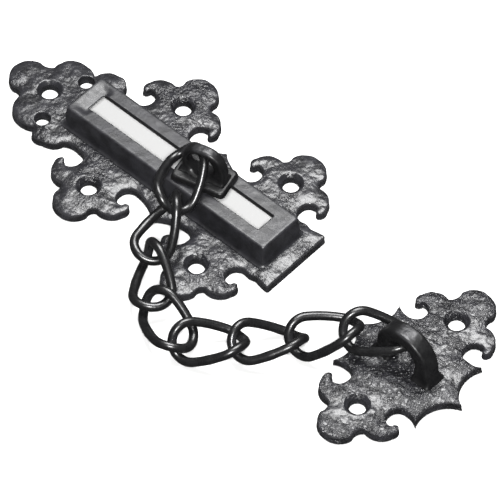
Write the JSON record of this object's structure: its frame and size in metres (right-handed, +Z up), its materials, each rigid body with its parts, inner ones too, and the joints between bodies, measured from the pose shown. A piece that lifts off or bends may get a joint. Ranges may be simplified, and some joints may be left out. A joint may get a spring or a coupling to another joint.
{
  "type": "door chain guard",
  "caption": "Cast door chain guard: fleur-ended slide plate with a captive eye slider, a chain of twisted links and a staple plate with a cast arch.",
  "frame": {"origin": "bottom centre of the bounding box of the laid-out guard, on the surface that both plates lie on", "axes": "+X along the slide plate's track, from its finial to its end bar; +Y across the plates; +Z up out of the plates' faces"},
  "size_m": [0.2138, 0.0993, 0.0288],
  "materials": {
    "plate_paint": "satin black paint over hammered casting",
    "slider_paint": "satin black paint over a smoother casting",
    "chain_black": "smooth gloss black paint on steel wire",
    "washer_steel": "satin black paint"
  },
  "bodies": {
    "slide_plate": {"slide_plate": "plate_paint"},
    "slider_washer": {"slider_washer": "washer_steel"},
    "slider": {"slider": "slider_paint"},
    "link_01": {"link_01": "chain_black"},
    "link_02": {"link_02": "chain_black"},
    "link_03": {"link_03": "chain_black"},
    "link_04": {"link_04": "chain_black"},
    "link_05": {"link_05": "chain_black"},
    "link_06": {"link_06": "chain_black"},
    "link_07": {"link_07": "chain_black"},
    "link_08": {"link_08": "chain_black"},
    "staple_plate": {"staple_plate": "plate_paint"}
  },
  "joints": [
    {"name": "slider_slide", "type": "slide", "parent": "slide_plate", "child": "slider_washer", "axis": [1, 0, 0], "range_m": [-0.018, 0.003]},
    {"name": "slider_swivel", "type": "hinge", "parent": "slider_washer", "child": "slider", "pos_m": [-0.0188, 0.0109, 0.013], "axis": [0, 0, -1], "range_deg": [-4, 25]},
    {"name": "link_01_swing", "type": "hinge", "parent": "slider", "child": "link_01", "pos_m": [-0.0252, 0.0118, 0.0206], "axis": [0, 0, 1], "range_deg": [-14, 3]},
    {"name": "link_02_swing", "type": "hinge", "parent": "link_01", "child": "link_02", "pos_m": [-0.0169, -0.0067, 0.0162], "axis": [0, 0, -1], "range_deg": [-8, 30]},
    {"name": "link_03_swing", "type": "hinge", "parent": "link_02", "child": "link_03", "pos_m": [-0.0127, -0.0223, 0.009], "axis": [0, 0, 1], "range_deg": [-35, 25]},
    {"name": "link_04_swing", "type": "hinge", "parent": "link_03", "child": "link_04", "pos_m": [0.0018, -0.0364, 0.0065], "axis": [0, 0, -1], "range_deg": [-7, 35]},
    {"name": "link_05_swing", "type": "hinge", "parent": "link_04", "child": "link_05", "pos_m": [0.0195, -0.0424, 0.0056], "axis": [0, 0, -1], "range_deg": [-4, 35]},
    {"name": "link_06_swing", "type": "hinge", "parent": "link_05", "child": "link_06", "pos_m": [0.0346, -0.0295, 0.0064], "axis": [0, 0, 1], "range_deg": [-35, 30]},
    {"name": "link_07_swing", "type": "hinge", "parent": "link_06", "child": "link_07", "pos_m": [0.048, -0.0143, 0.0055], "axis": [0, 0, 1], "range_deg": [-35, 35]},
    {"name": "link_08_swing", "type": "hinge", "parent": "link_07", "child": "link_08", "pos_m": [0.061, -0.0022, 0.0108], "axis": [0, 0, 1], "range_deg": [-18, 35]},
    {"name": "staple_plate_swing", "type": "hinge", "parent": "link_08", "child": "staple_plate", "pos_m": [0.0782, 0.007, 0.0104], "axis": [0, 0, -1], "range_deg": [-6, 3]}
  ]
}
